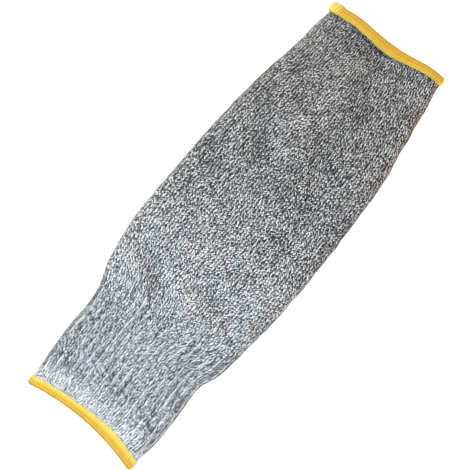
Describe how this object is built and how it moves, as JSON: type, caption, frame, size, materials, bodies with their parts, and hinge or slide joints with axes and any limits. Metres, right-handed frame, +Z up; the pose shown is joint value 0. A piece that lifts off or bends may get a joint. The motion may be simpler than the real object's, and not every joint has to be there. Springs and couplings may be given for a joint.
{
  "type": "cut resistant sleeve",
  "caption": "Knitted grey cut resistant forearm sleeve lying flat, an open tube with a ribbed elastic wrist and yellow overlocked ends.",
  "frame": {"origin": "under the middle of the sleeve's box, on the surface it lies on", "axes": "+X along the sleeve from the wrist to the upper-arm opening, +Y across it, +Z up"},
  "size_m": [0.2622, 0.0936, 0.0127],
  "materials": {
    "grey_knit": "matte salt-and-pepper knit of polyethylene and glass yarn",
    "yellow_overlock": "soft sheen of textured polyester thread in dense overlock stitches"
  },
  "bodies": {
    "root": {"sleeve_tube": "grey_knit", "wrist_edging": "yellow_overlock", "upper_edging": "yellow_overlock"}
  },
  "joints": []
}
